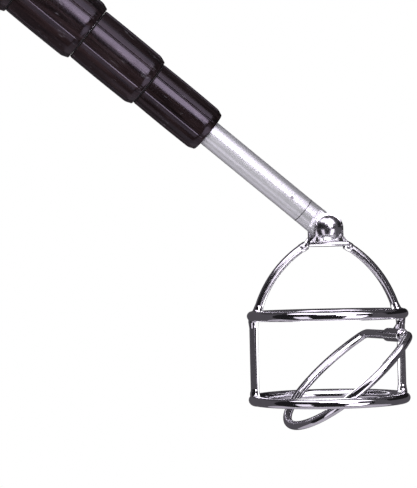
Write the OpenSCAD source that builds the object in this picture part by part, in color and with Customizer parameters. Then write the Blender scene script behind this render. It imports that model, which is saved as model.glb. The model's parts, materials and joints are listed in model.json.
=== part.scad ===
// Telescopic golf ball retriever: a sliding pole, a swivelling wire cage and a lifting gate.
// The pole runs down to the right in the XZ plane and its grip centre is the origin.
// The cage hangs upright from the swivel, with its axis along Z and the swivel pin along Y.

/* [Pole] */
// Slope of the pole below the horizontal, in degrees
pole_slope = 39.7; // [20:0.1:60]
// Length of the rubber grip
grip_len = 250; // [200:1:320]
// Thickness of the rubber grip over the handle tube
grip_t = 2.78; // [2.2:0.02:5]
// Length of the grip's plain middle band
grip_band = 60; // [40:1:90]
// Number of ring grooves at each end of the grip
grip_grooves = 10; // [0:1:12]
// Depth of a ring groove in the grip
grip_groove_depth = 0.9; // [0.3:0.1:1.2]
// Thickness of the butt cap's flange
butt_t = 6; // [4:0.5:10]
// Length of the butt cap's spigot in the handle tube
butt_spigot = 11; // [6:0.5:12]
// Outside diameter of the slim tip tube
tip_od = 9.4; // [9:0.1:11]
// Growth in diameter from one tube to the next
tube_step = 3.2; // [2.6:0.1:3.6]
// Wall of every tube
tube_wall = 0.8; // [0.6:0.05:0.9]
// Room between the tubes' inner ends and the butt cap with the pole closed
tail_room = 4.9; // [2:0.1:60]
// Tip tube that shows between the last collar and the swivel plug
tip_show = 43.2; // [30:0.1:80]

/* [Collars] */
// Distance from one collar to the next with the pole closed
collar_pitch = 27; // [22:0.5:34]
// Growth of a collar over the tube that it is pressed on
collar_over = 4.3; // [4:0.1:7]
// Length of the lip that guides the next tube
lip_len = 4.5; // [3:0.5:6]
// Length of the friction ring behind the lip
friction_len = 4; // [2:0.5:6]
// Length of the taper at a collar's front
taper_len = 3.5; // [2:0.1:8]
// How much the radius drops along the taper
taper_drop = 0.7; // [0.3:0.1:1.2]
// Radius of the rounded rim at a collar's front
rim_r = 0.8; // [0.3:0.1:0.9]
// Swell of a collar's middle over its ends
barrel_rise = 0.1; // [0.05:0.05:0.5]
// Number of grooves along a collar
flutes = 8; // [6:1:12]
// Width of a groove along a collar
flute_w = 1.3; // [0.8:0.1:3]
// Depth of a groove along a collar
flute_depth = 0.4; // [0.2:0.05:0.6]
// Turn of the first groove from the front side, in degrees
flute_turn = 29; // [0:1:45]
// Length of a tail bush
bush_len = 12; // [8:0.5:20]

/* [Swivel] */
// Distance from the tip tube's end to the swivel pin
plug_len = 10.6; // [9.5:0.1:16]
// Length of the plug inside the tip tube
plug_spigot = 14; // [10:0.5:25]
// Growth of the plug's diameter over the tip tube
plug_over = 0.2; // [0.1:0.1:0.6]
// Bevel of the plug where it meets the tip tube
joint_bevel = 0.25; // [0.1:0.05:0.5]
// Thickness of the plug's eye between the washers
eye_t = 6.4; // [5:0.1:7]
// Thickness of a washer
washer_t = 0.5; // [0.3:0.1:1]
// Thickness of the clevis sheet
ear_t = 1.5; // [1:0.1:2]
// Half width and top radius of an ear
ear_r = 5.2; // [5:0.1:6.5]
// Height of the flare at the foot of an ear
flare_h = 2.2; // [1:0.1:3]
// Distance from an ear's middle to the inner corner of the window at its foot
window_in = 3.4; // [3:0.1:4]
// Width of the window at an ear's foot
window_w = 1.7; // [1:0.1:2]
// Height of the window at an ear's foot
window_h = 2.1; // [1:0.1:2.3]
// Thickness of the flat crown between the ears
crown_t = 1.3; // [1:0.1:1.5]
// Distance from an ear's edge in to the washer's edge
washer_in = 1; // [0.5:0.1:1.5]
// Growth of the spot face in the plug over the ear
spot_over = 1.5; // [1:0.1:2.5]
// Diameter of the rivet's shank
rivet_d = 4; // [3:0.1:5]
// Diameter of the rivet's domed heads
dome_d = 9.2; // [7:0.1:10]
// Height of the rivet's domed heads
dome_h = 2.8; // [1.5:0.1:3.4]
// Diameter of the pin that stakes the plug in the tube
stake_d = 1.2; // [0.8:0.1:2]
// Distance from the tube's end to the stake pin
stake_back = 6.2; // [4:0.1:9]
// How deep the stake pin's ends lie under the tube's skin
stake_recess = 0.3; // [0.1:0.1:0.6]

/* [Cage] */
// Radius of both rings, to the middle of their wire
ring_r = 26.75; // [25:0.05:30]
// Diameter of the rings' wire
ring_wire = 3.5; // [2.5:0.1:4]
// Drop from the swivel pin to the top ring
ring_drop = 30.5; // [27:0.1:40]
// Distance between the two rings
ring_gap = 29.6; // [26:0.1:36]
// Diameter of the posts' wire
post_wire = 3; // [2.5:0.1:3.5]
// Diameter of the arch legs' wire
leg_wire = 3; // [2.5:0.1:3.5]
// Bend radius of the arch legs
leg_bend_r = 39.3; // [32:0.1:60]
// Half length of the flat crown that carries the ears
crown_half = 7; // [6.6:0.1:9]
// Distance from the ring's wire in to the foot of a leg
foot_inset = 1.15; // [0.5:0.05:1.5]
// Growth of a weld bead over the wire that it goes round
bead_over = 1.4; // [1:0.1:2]

/* [Gate] */
// Diameter of the gate's wire
gate_wire = 3.2; // [2.5:0.1:3.5]
// Outside diameter of the hinge barrel
barrel_d = 4.8; // [4.4:0.1:6]
// Length of the hinge barrel
barrel_len = 12; // [8:0.5:12]
// How far the barrel's middle lies in front of the right post
barrel_shift = 3.8; // [0:0.1:5]
// Drop from the top ring to the hinge
hinge_drop = 7.7; // [7:0.1:11]
// Turn of the gate behind the right post, in degrees
gate_turn = 8; // [0:0.5:14]
// Diameter of the strut that hangs the barrel from the top ring
strut_d = 2; // [1.5:0.1:2.6]
// Distance from the strut to the barrel's front end
strut_in = 6; // [1.5:0.1:7]
// How far the gate's nose dips under the bottom ring
nose_dip = 8.8; // [6:0.1:12]
// How far inside the ring's wire the nose would lie with the gate level
nose_inset = 1.75; // [1.2:0.05:4]
// Half angle of the gate's round nose, in degrees
nose_half = 65; // [60:1:80]
// Bend radius of the gate's two sides
side_bend_r = 32; // [28:0.5:34]
// Bend radius of the gate's two corners
corner_r = 3.8; // [3:0.1:5]
// How much the wire thins in the nose and the two corner bends
bend_thin = 0.08; // [0.04:0.02:0.2]

/* [Fits] */
// Gap between pieces that are fixed together
seat_gap = 0.02; // [0.01:0.01:0.05]
// Gap around a part that turns
run_gap = 0.05; // [0.03:0.01:0.1]
// Gap around a tube that slides
slide_gap = 0.1; // [0.05:0.01:0.1]
// Gap left where moving parts stop or pass
stop_gap = 0.3; // [0.2:0.05:0.5]
// Gap between the gate and the bottom ring, level
side_gap = 0.85; // [0.75:0.05:1.2]

/* [Hidden] */
$fn = 64;

// Cutting tools run past what they cut by this much
over = 1;

// Tubes are numbered from the tip, which is 0, to the handle, which is handle_no
handle_no = 5;
function tube_r(n) = (tip_od + n * tube_step) / 2;
function bore_r(n) = tube_r(n) - tube_wall;
function collar_r(n) = tube_r(n) + collar_over / 2;
function collar_back(n) = grip_len / 2 + (handle_no - n) * collar_pitch;
function collar_front(n) = collar_back(n) + collar_pitch - stop_gap;
function lip_back(n) = collar_front(n) - lip_len;
function tube_front(n) = lip_back(n) - friction_len;
function bush_front(n) = tube_front(n + 1) - stroke - stop_gap;
function tube_tail(n) = bush_front(n) - bush_len;
tip_front = collar_front(1) + tip_show;

// Travel of each sliding section
ends_len = lip_len + friction_len + bush_len + butt_spigot + tail_room;
stroke = grip_len + collar_pitch - ends_len - 2 * stop_gap;

// Grip
grip_r = tube_r(handle_no) + seat_gap + grip_t;
grip_end_r = grip_r - grip_groove_depth;
groove_span = (grip_len - grip_band) / 2;
groove_pitch = groove_span / (grip_grooves + 1);
butt_edge_r = butt_t / 3;

// Collars
flute_r = (pow(flute_w / 2, 2) + pow(flute_depth, 2)) / (2 * flute_depth);
barrel_bow_r = (pow((collar_pitch - taper_len) / 2, 2) + pow(barrel_rise, 2)) / (2 * barrel_rise);
arc_steps = 8;

// Swivel pin, seen from the grip
pivot_s = tip_front + plug_len;
pivot_x = pivot_s * cos(pole_slope);
pivot_z = -pivot_s * sin(pole_slope);
plug_r = tip_od / 2 + plug_over / 2;
ear_in = eye_t / 2 + run_gap + washer_t;
ear_out = ear_in + ear_t;
crown_top = -plug_r - stop_gap;
crown_bottom = crown_top - crown_t;
sheet_bend_r = ear_t;
ear_flare_z = crown_top + flare_h;
window_z = crown_top + stop_gap;
// Place of a window's upper corner over its foot
window_lean = 0.6;
washer_r = ear_r - washer_in;
spot_r = ear_r + spot_over;
dome_ball_r = (pow(dome_d / 2, 2) + pow(dome_h, 2)) / (2 * dome_h);
// Half length of a cut that runs through the swivel from side to side
through = ear_out + dome_h + over;

// Cage, seen from the swivel pin
top_z = -ring_drop;
bottom_z = top_z - ring_gap;
foot_x = ring_r - foot_inset;
crown_mid = (crown_top + crown_bottom) / 2;
leg_dx = foot_x - crown_half;
leg_dz = crown_mid - top_z;
leg_chord = sqrt(leg_dx * leg_dx + leg_dz * leg_dz);
leg_reach = sqrt(leg_bend_r * leg_bend_r - leg_chord * leg_chord / 4);
leg_cx = (crown_half + foot_x) / 2 - leg_reach * leg_dz / leg_chord;
leg_cz = (crown_mid + top_z) / 2 - leg_reach * leg_dx / leg_chord;
leg_foot_angle = asin((top_z - leg_cz) / leg_bend_r);
leg_crown_angle = asin((crown_mid - leg_cz) / leg_bend_r);

// Gate, in its own plane: the hinge line is the flat side, and its nose points along +X
hinge_z = top_z - hinge_drop;
hinge_r = ring_r * cos(gate_turn) - post_wire / 2 - barrel_d / 2 - seat_gap;
hinge_shift = -ring_r * sin(gate_turn);
gate_len = hinge_r + ring_r - nose_inset;
gate_tilt = asin((ring_gap - hinge_drop + nose_dip) / gate_len);
cross_len = (ring_gap - hinge_drop) / sin(gate_tilt);
cross_r = ring_r - (ring_wire + gate_wire) / 2 - side_gap;
cross_in = hinge_r - cross_len * cos(gate_tilt);
cross_half = sqrt(cross_r * cross_r - cross_in * cross_in);
nose_len = gate_len - cross_len;
bow_r = (cross_half * cross_half / nose_len + nose_len) / 2;
bow_x = gate_len - bow_r;
side_x = bow_x - (side_bend_r - bow_r) * cos(nose_half);
side_y = -(side_bend_r - bow_r) * sin(nose_half);
corner_y = side_y + sqrt(pow(side_bend_r - corner_r, 2) - pow(side_x - corner_r, 2));
corner_angle = atan2(corner_y - side_y, corner_r - side_x);
// The thinner wire of a bend runs on into its neighbours by bend_lap degrees
thin_wire = gate_wire - bend_thin;
bend_lap = 2;

// Barrel on the hinge line, and the strut from it up to the top ring, in the hinge's frame
barrel_y = hinge_shift - barrel_shift;
strut_y = barrel_y - barrel_len / 2 + strut_in;
strut_out = sqrt(ring_r * ring_r - strut_y * strut_y) - hinge_r;
strut_len = sqrt(strut_out * strut_out + hinge_drop * hinge_drop);
strut_lean = atan2(strut_out, hinge_drop);

// Frames that the pieces are drawn in

// Pole frame: +Z runs along the pole from the grip's centre to the cage
module on_pole(s = 0) {
    rotate([0, 90 + pole_slope, 0])
        translate([0, 0, s])
            children();
}

// Cage frame: the swivel pin is at the origin
module on_pivot() {
    translate([pivot_x, 0, pivot_z])
        children();
}

// Hinge frame: the hinge line is Y, +X points out of the cage and the bow's middle is at y = 0
module on_hinge() {
    on_pivot()
        rotate([0, 0, gate_turn])
            translate([hinge_r, 0, hinge_z])
                children();
}

// Shapes that repeat

// Plain tube along Z
module tube(outer_r, inner_r, from, to) {
    translate([0, 0, from])
        difference() {
            cylinder(r = outer_r, h = to - from);
            translate([0, 0, -over])
                cylinder(r = inner_r, h = to - from + 2 * over);
        }
}

// Bar along Y through the origin
module bar_y(r, from, to) {
    translate([0, from, 0])
        rotate([-90, 0, 0])
            cylinder(r = r, h = to - from);
}

// Wire bent to an arc about Z
module bent_wire(bend_r, wire_d, from_angle, to_angle) {
    rotate([0, 0, from_angle])
        rotate_extrude(angle = to_angle - from_angle)
            translate([bend_r, 0])
                circle(d = wire_d, $fn = 32);
}

// Closed ring of wire at height z
module wire_ring(z, wire_d) {
    translate([0, 0, z])
        rotate_extrude()
            translate([ring_r, 0])
                circle(d = wire_d, $fn = 32);
}

// Points on an arc, as [radius, height] pairs
function arc_points(centre, r, from_angle, to_angle) = [
    for (i = [0 : arc_steps])
        let (a = from_angle + (to_angle - from_angle) * i / arc_steps)
            centre + r * [cos(a), sin(a)]
];

// Handle

module grip_sleeve() {
    color("#2b2a2d")
        on_pole()
            difference() {
                tube(grip_r, tube_r(handle_no) + seat_gap, -grip_len / 2, grip_len / 2);
                for (side = [-1, 1], i = [1 : 1 : grip_grooves])
                    translate([0, 0, side * (grip_band / 2 + i * groove_pitch)])
                        rotate_extrude()
                            translate([grip_r, 0])
                                circle(r = grip_groove_depth, $fn = 32);
            }
}

module butt_cap() {
    color("#232226")
        on_pole(-grip_len / 2)
            union() {
                rotate_extrude()
                    polygon(concat(
                        [[0, 0], [0, -butt_t]],
                        arc_points([grip_end_r - butt_edge_r, butt_edge_r - butt_t], butt_edge_r, -90, 0),
                        [[grip_end_r, 0]]
                    ));
                cylinder(r = bore_r(handle_no) - seat_gap, h = butt_spigot);
            }
}

module handle_tube() {
    color("#b9b8c2")
        on_pole()
            tube(tube_r(handle_no), bore_r(handle_no), -grip_len / 2, tube_front(handle_no));
}

// Telescopic sections

module section_tube(n) {
    color("#b9b8c2")
        on_pole()
            tube(tube_r(n), bore_r(n), tube_tail(n), tube_front(n));
}

module tail_bush(n) {
    color("#dcdad2")
        on_pole()
            tube(bore_r(n + 1) - slide_gap, tube_r(n) + seat_gap, tube_tail(n), bush_front(n));
}

module friction_ring(n) {
    color("#3a393d")
        on_pole()
            tube(tube_r(n), tube_r(n - 1) + run_gap, tube_front(n) + seat_gap, lip_back(n) - seat_gap);
}

// Outline of a collar: a slightly swollen side, a taper and a rounded rim
function collar_outline(n) =
    let (
        len = collar_pitch - stop_gap,
        taper_z = len - taper_len,
        side_r = collar_r(n),
        bow_half = asin(taper_z / 2 / barrel_bow_r),
        front_r = side_r - taper_drop,
        fall = atan2(taper_drop, taper_len)
    )
    concat(
        [[tube_r(n) + seat_gap, 0]],
        arc_points([side_r + barrel_rise - barrel_bow_r, taper_z / 2], barrel_bow_r, -bow_half, bow_half),
        arc_points([front_r - rim_r, len - rim_r], rim_r, fall, 90),
        [
            [tube_r(n - 1) + slide_gap, len],
            [tube_r(n - 1) + slide_gap, len - lip_len],
            [tube_r(n) + seat_gap, len - lip_len]
        ]
    );

module collar(n) {
    color("#1d1b20")
        on_pole(collar_back(n))
            difference() {
                rotate_extrude()
                    polygon(collar_outline(n));
                for (i = [0 : flutes - 1])
                    rotate([0, 0, flute_turn - 90 + i * 360 / flutes])
                        translate([collar_r(n) + barrel_rise + flute_r - flute_depth, 0, -over])
                            cylinder(r = flute_r, h = collar_pitch + 2 * over);
            }
}

// Tip and swivel plug

module tip_tube() {
    color("#c4c3cd")
        on_pole()
            difference() {
                tube(tube_r(0), bore_r(0), tube_tail(0), tip_front);
                translate([0, 0, tip_front - stake_back])
                    bar_y(stake_d / 2 + seat_gap, -through, through);
            }
}

module swivel_plug() {
    color("#bfbec8")
        on_pole(pivot_s)
            difference() {
                union() {
                    difference() {
                        union() {
                            translate([0, 0, -plug_len])
                                cylinder(r1 = tube_r(0) - joint_bevel, r2 = tube_r(0), h = joint_bevel);
                            translate([0, 0, joint_bevel - plug_len])
                                cylinder(r1 = tube_r(0), r2 = plug_r, h = plug_len - joint_bevel);
                        }
                        for (side = [-1, 1])
                            translate([0, side * (eye_t / 2 + plug_r), 0])
                                bar_y(spot_r, -plug_r, plug_r);
                    }
                    bar_y(plug_r, -eye_t / 2, eye_t / 2);
                    translate([0, 0, -plug_len - plug_spigot])
                        cylinder(r = bore_r(0) - seat_gap, h = plug_spigot);
                }
                bar_y(rivet_d / 2 + run_gap, -through, through);
                translate([0, 0, -plug_len - stake_back])
                    bar_y(stake_d / 2 + seat_gap, -through, through);
            }
}

module stake_pin() {
    color("#55545a")
        on_pole(tip_front - stake_back)
            bar_y(stake_d / 2, -tube_r(0) + stake_recess, tube_r(0) - stake_recess);
}

// Clevis and rivet

// Cross-section of the bent sheet, seen along X
module clevis_section() {
    difference() {
        union() {
            translate([-ear_out, crown_bottom + sheet_bend_r])
                square([2 * ear_out, ear_r - crown_bottom - sheet_bend_r]);
            translate([-ear_out + sheet_bend_r, crown_bottom])
                square([2 * (ear_out - sheet_bend_r), sheet_bend_r]);
            for (side = [-1, 1])
                translate([side * (ear_out - sheet_bend_r), crown_bottom + sheet_bend_r])
                    circle(r = sheet_bend_r);
        }
        translate([-ear_in, crown_top])
            square([2 * ear_in, ear_r - crown_top + over]);
    }
}

// Outline of an ear, seen along Y, with a three-cornered window at each side of its foot
module ear_outline() {
    difference() {
        union() {
            circle(r = ear_r);
            polygon([
                [-ear_r, 0], [-ear_r, ear_flare_z], [-crown_half, crown_top], [-crown_half, crown_bottom],
                [crown_half, crown_bottom], [crown_half, crown_top], [ear_r, ear_flare_z], [ear_r, 0]
            ]);
        }
        for (side = [-1, 1])
            polygon([
                [side * window_in, window_z], [side * (window_in + window_w), window_z],
                [side * (window_in + window_w * window_lean), window_z + window_h]
            ]);
    }
}

module clevis_bracket() {
    color("#9b9aa3")
        on_pivot()
            difference() {
                intersection() {
                    translate([-crown_half, 0, 0])
                        rotate([90, 0, 90])
                            linear_extrude(2 * crown_half)
                                clevis_section();
                    translate([0, ear_out, 0])
                        rotate([90, 0, 0])
                            linear_extrude(2 * ear_out)
                                ear_outline();
                }
                bar_y(rivet_d / 2 + seat_gap, -through, through);
            }
}

module pivot_washers() {
    color("#cfcdc6")
        on_pivot()
            for (side = [-1, 1])
                difference() {
                    bar_y(washer_r, side * (ear_in - washer_t / 2) - washer_t / 2,
                        side * (ear_in - washer_t / 2) + washer_t / 2);
                    bar_y(rivet_d / 2 + seat_gap, -through, through);
                }
}

// Dome of the rivet, resting on the plane y = 0 and pointing along -Y
module rivet_dome() {
    intersection() {
        translate([0, dome_ball_r - dome_h, 0])
            sphere(r = dome_ball_r);
        bar_y(dome_d, -dome_h - over, 0);
    }
}

module pivot_rivet() {
    color("#8f8e98")
        on_pivot()
            union() {
                bar_y(rivet_d / 2, -ear_out, ear_out);
                translate([0, -ear_out, 0])
                    rivet_dome();
                translate([0, ear_out, 0])
                    mirror([0, 1, 0])
                        rivet_dome();
            }
}

// Cage

// Arch leg on the +X side, before its foot is coped to the ring
module leg_blank(wire_d) {
    translate([leg_cx, 0, leg_cz])
        rotate([90, 0, 0])
            bent_wire(leg_bend_r, wire_d, leg_foot_angle, leg_crown_angle);
}

module leg() {
    difference() {
        leg_blank(leg_wire);
        wire_ring(top_z, ring_wire + 2 * seat_gap);
        translate([0, -ring_r, crown_top])
            cube([2 * ring_r, 2 * ring_r, ring_r]);
        translate([0, -ring_r, crown_bottom - ring_r])
            cube([crown_half + seat_gap, 2 * ring_r, 2 * ring_r]);
    }
}

module right_leg() {
    color("#77767d")
        on_pivot()
            leg();
}

module left_leg() {
    color("#77767d")
        on_pivot()
            mirror([1, 0, 0])
                leg();
}

module top_ring() {
    color("#77767d")
        on_pivot()
            wire_ring(top_z, ring_wire);
}

module bottom_ring() {
    color("#77767d")
        on_pivot()
            wire_ring(bottom_z, ring_wire);
}

module post_blank(wire_d) {
    translate([ring_r, 0, bottom_z])
        cylinder(d = wire_d, h = ring_gap);
}

module post() {
    difference() {
        post_blank(post_wire);
        wire_ring(top_z, ring_wire + 2 * seat_gap);
        wire_ring(bottom_z, ring_wire + 2 * seat_gap);
    }
}

module right_post() {
    color("#77767d")
        on_pivot()
            post();
}

module left_post() {
    color("#77767d")
        on_pivot()
            mirror([1, 0, 0])
                post();
}

// Weld at an end of a post: a bead round the wire, up against the ring
module post_bead(z, up) {
    difference() {
        translate([ring_r, 0, z - up * ring_wire / 2])
            sphere(d = post_wire + bead_over);
        wire_ring(z, ring_wire + 2 * seat_gap);
        post_blank(post_wire + 2 * seat_gap);
        translate([0, -ring_r, min(z, z + up * ring_r)])
            cube([2 * ring_r, 2 * ring_r, ring_r]);
    }
}

module weld_beads() {
    color("#6c6b72")
        on_pivot()
            for (turn = [0, 180], up = [-1, 1])
                rotate([0, 0, turn])
                    post_bead(up > 0 ? top_z : bottom_z, up);
}

module hinge_barrel() {
    color("#5f5d66")
        on_hinge()
            translate([0, barrel_y, 0])
                difference() {
                    bar_y(barrel_d / 2, -barrel_len / 2, barrel_len / 2);
                    bar_y(gate_wire / 2 + run_gap, -barrel_len, barrel_len);
                }
}

module hinge_strut() {
    color("#5f5d66")
        difference() {
            on_hinge()
                translate([0, strut_y, 0])
                    rotate([0, strut_lean, 0])
                        cylinder(d = strut_d, h = strut_len);
            on_hinge()
                bar_y(barrel_d / 2 + seat_gap, -ring_r, ring_r);
            on_pivot()
                wire_ring(top_z, ring_wire + 2 * seat_gap);
        }
}

// Gate

// One side of the gate, from the end of its nose round the corner to the hinge line
module gate_side() {
    translate([side_x, side_y, 0])
        bent_wire(side_bend_r, gate_wire, nose_half, corner_angle);
    translate([corner_r, corner_y, 0])
        bent_wire(corner_r, thin_wire, corner_angle - bend_lap, 180 + bend_lap);
}

module gate_ring() {
    color("#77767d")
        on_hinge()
            rotate([0, gate_tilt, 180])
                union() {
                    bar_y(gate_wire / 2, -corner_y, corner_y);
                    translate([bow_x, 0, 0])
                        bent_wire(bow_r, thin_wire, -nose_half - bend_lap, nose_half + bend_lap);
                    for (hand = [0, 1])
                        mirror([0, hand, 0])
                            gate_side();
                }
}

grip_sleeve();
butt_cap();
handle_tube();
collar(handle_no);  // handle_collar
friction_ring(handle_no);  // handle_friction_ring
for (n = [1 : handle_no - 1]) {
    section_tube(n);
    tail_bush(n);
    collar(n);
    friction_ring(n);
}
tip_tube();
tail_bush(0);  // tip_tail_bush
swivel_plug();
stake_pin();
clevis_bracket();
pivot_rivet();
pivot_washers();
left_leg();
right_leg();
top_ring();
left_post();
right_post();
bottom_ring();
hinge_barrel();
hinge_strut();
weld_beads();
gate_ring();
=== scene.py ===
"""Finishes, welds and studio for a telescopic golf ball retriever.

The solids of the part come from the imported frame. Each operator finishes one group of its pieces,
and one more sets up the studio with the camera. Sizes are in metres, unless a comment says otherwise.
"""

import json
import math

import bmesh
import bpy
from mathutils import Matrix, Vector, noise


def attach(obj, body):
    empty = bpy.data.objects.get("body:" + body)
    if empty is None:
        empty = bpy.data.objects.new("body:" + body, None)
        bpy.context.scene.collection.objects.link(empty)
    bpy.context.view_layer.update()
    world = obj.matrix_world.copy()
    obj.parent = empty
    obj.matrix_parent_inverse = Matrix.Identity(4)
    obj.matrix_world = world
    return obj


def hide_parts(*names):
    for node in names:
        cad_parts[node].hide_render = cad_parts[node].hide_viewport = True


bl_info = {
    "name": "Golf ball retriever finishes",
    "version": (1, 0, 0),
    "blender": (4, 5, 0),
    "location": "View3D > Sidebar > Retriever",
    "description": "Finishes the pieces of a telescopic golf ball retriever and sets up its studio",
    "category": "Object",
}

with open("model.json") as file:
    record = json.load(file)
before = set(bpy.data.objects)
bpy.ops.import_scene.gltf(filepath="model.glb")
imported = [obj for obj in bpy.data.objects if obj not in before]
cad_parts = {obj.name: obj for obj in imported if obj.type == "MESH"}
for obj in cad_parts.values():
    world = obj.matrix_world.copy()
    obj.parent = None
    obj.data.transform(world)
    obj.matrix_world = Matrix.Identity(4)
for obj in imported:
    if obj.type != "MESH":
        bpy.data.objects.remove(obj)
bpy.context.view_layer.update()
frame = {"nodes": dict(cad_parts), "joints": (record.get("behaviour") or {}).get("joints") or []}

MM = 0.001
FULL_TURN = 2.0 * math.pi
X = Vector((1.0, 0.0, 0.0))
Y = Vector((0.0, 1.0, 0.0))
Z = Vector((0.0, 0.0, 1.0))

# The swivel pin, the pole's axis with the way across it, and the gate's hinge
JOINTS = {joint["name"]: joint for joint in frame["joints"]}
PIVOT = Vector(JOINTS["head_swivel"]["pos_m"])
POLE = Vector(JOINTS["tip_slide"]["axis"])
POLE_TURN = math.atan2(POLE.x, POLE.z)
ACROSS = Y.cross(POLE)
HINGE = Vector(JOINTS["gate_hinge"]["pos_m"])
HINGE_LINE = Vector(JOINTS["gate_hinge"]["axis"])

# Nodes that share a finish
TUBE_NODES = ("handle_tube", "tube_4", "tube_3", "tube_2", "tube_1", "tip_tube")
FRICTION_NODES = (
    "handle_friction_ring", "friction_ring_4", "friction_ring_3", "friction_ring_2", "friction_ring_1",
)
BUSH_NODES = ("tail_bush_4", "tail_bush_3", "tail_bush_2", "tail_bush_1", "tip_tail_bush")
LEG_NODES = ("left_leg", "right_leg")
CAGE_NODES = ("top_ring", "left_post", "right_post", "bottom_ring")
HINGE_NODES = ("hinge_barrel", "hinge_strut")

# Each collar with its own tube, the tube that slides in it, its body and the dark seal behind it, which
# also paints the shade in the gap
COLLARS = (
    ("collar_1", "tube_1", "tip_tube", "section_1", "gap_shade_seal_1"),
    ("collar_2", "tube_2", "tube_1", "section_2", "gap_shade_seal_2"),
    ("collar_3", "tube_3", "tube_2", "section_3", "gap_shade_seal_3"),
    ("collar_4", "tube_4", "tube_3", "section_4", "gap_shade_seal_4"),
    ("handle_collar", "handle_tube", "tube_4", "handle", None),
)

# The grip's pips: rows, pips in a row, spacing, radius, height, depth in the grip, and fineness
PIP_ROWS = 9
PIPS_AROUND = 16
PIP_PITCH = 0.006
PIP_R = 0.0012
PIP_HEIGHT = 0.0005
PIP_SINK = 0.00008
PIP_SIDES = 12
PIP_LEVELS = 4

# Gaps of a collar round its own tube and round the sliding one
SEAT_GAP = 0.00002
SLIDE_GAP = 0.0001

# A dust seal's thickness, and how far its edge lies under the collar's. The seals' very dark rubber also
# paints the shade in the gap behind each collar
SEAL_T = 0.00022
SEAL_UNDER = 0.0002
TURNED_STEPS = 96

# A collar's broken back edge, swell, tapered nose, round rim and guide lip
COLLAR_EDGE_IN = 0.0003
COLLAR_EDGE_UP = 0.0002
COLLAR_SWELL = 0.0001
COLLAR_NOSE = 0.0026
COLLAR_TAPER = 0.0007
COLLAR_RIM = 0.0006
COLLAR_LIP = 0.0045
COLLAR_SHARP = math.radians(50.0)
SIDE_STOPS = (0.02, 0.06, 0.25, 0.5, 0.75, 0.94, 0.98)
NOSE_STOPS = (0.12, 0.24, 0.5, 0.76)
NOSE_CURVE = 1.3
RIM_STEPS = 6

# A collar's lengthwise grooves, and the points across a groove and the land beside it
GROOVES = 8
GROOVE_TURN = math.radians(-61.0)
GROOVE_HALF = 0.00045
GROOVE_DEPTH = 0.00028
GROOVE_CURVE = 1.5
GROOVE_MARGIN = 1.15
GROOVE_STEPS = 16
LAND_STEPS = 10

# A dark ring in the joint of the tip tube and the plug, which paints the shade of the joint's gap
SEAM_DEEP = 0.00025
SEAM_WIDE = 0.00026
SEAM_LAP = 0.00003
SEAM_PROUD = 0.00003

# The clevis's eased edges: what counts as one point, as flat, as an edge to ease and as a sharp one
SAME_POINT = 0.000001
FLAT = math.radians(1.0)
EASE_ABOVE = math.radians(50.0)
EASED_SHARP = math.radians(35.0)
EASE = 0.0003
EASE_STEPS = 3

# Dark blocks in the clevis's ears that paint the shade at the lower corners beside the rivet: corners seen
# along Y and pairs of depths, millimetres from the pin
SHADE_BLOCK_CORNERS = ((3.48, -4.76), (5.0, -4.76), (4.4, -2.85))
SHADE_BLOCK_DEPTHS = ((-5.15, -3.85), (3.85, 5.15))

# The cage in millimetres: rings with their places under the pin, and the bend of the arch legs
RING_R = 26.75
TOP_Z = -30.5
BOTTOM_Z = -60.1
LEG_BEND_X = -12.58
LEG_BEND_Z = -39.83
LEG_BEND_R = 39.3

# Weld metal: fineness, flow into the corners, and lumps with the scale and share of each noise
WELD_GRAIN = 0.0002
WELD_FLOW = 28
WELD_RUN = 0.5
WELD_LUMP = 0.00007
LUMP_NOISES = ((900.0, 1.0), (2100.0, 0.5))
ROD_SIDES = 20
# A way that no rod runs along
ASKEW = Vector((0.31, 0.72, 0.62))

# Crown welds: stretch of the leg in degrees, its thin end, and the bead across the clevis's end
CROWN_TURNS = (60.1, 54.0)
CROWN_TAIL = 0.0012
CROWN_END_X_MM = 7.0
CROWN_END_Z_MM = -5.75
CROWN_HALF = 0.0024
CROWN_BEAD = (0.0005, 0.0008, 0.0009, 0.0008, 0.0005)

# Cage welds: stretch of the ring and of the leg's foot in degrees, of the post, and thin ends
RING_TURNS = (-11.0, 11.0)
RING_TAIL = (0.0014, 0.00172)
FOOT_TURNS = (13.0, 22.0)
POST_STRETCH = 0.0058
POST_TAIL = (0.0016, 0.0012)

# Strut welds: the strut's ends in millimetres from the pin, where the welds meet, and their thin end
STRUT_LOW_MM = (23.40, -4.31, -38.2)
STRUT_HIGH_MM = (26.47, -3.87, -30.5)
STRUT_MEET = 0.55
STRUT_TAIL = 0.0008

# Lips on the barrel's ends: radius, wire radius and fineness
LIP_R = 0.00203
LIP_WIRE = 0.00036
LIP_STEPS = 64
LIP_SIDES = 16

# The picture in points, and the camera's sensor and range
PICTURE = (417, 488)
SENSOR_MM = 36.0
CLIP = (0.01, 50.0)

# The studio: light from all round, the floor with its glow, and the cage's middle from the pin
AMBIENT = 0.42
WHITE = (1.0, 1.0, 1.0, 1.0)
FLOOR_HALF = 6.0
FLOOR_GREY = (0.8, 0.8, 0.8, 1.0)
FLOOR_GLOW = 0.72
CAGE_MIDDLE_MM = (0.0, 0.0, -45.0)

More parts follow.
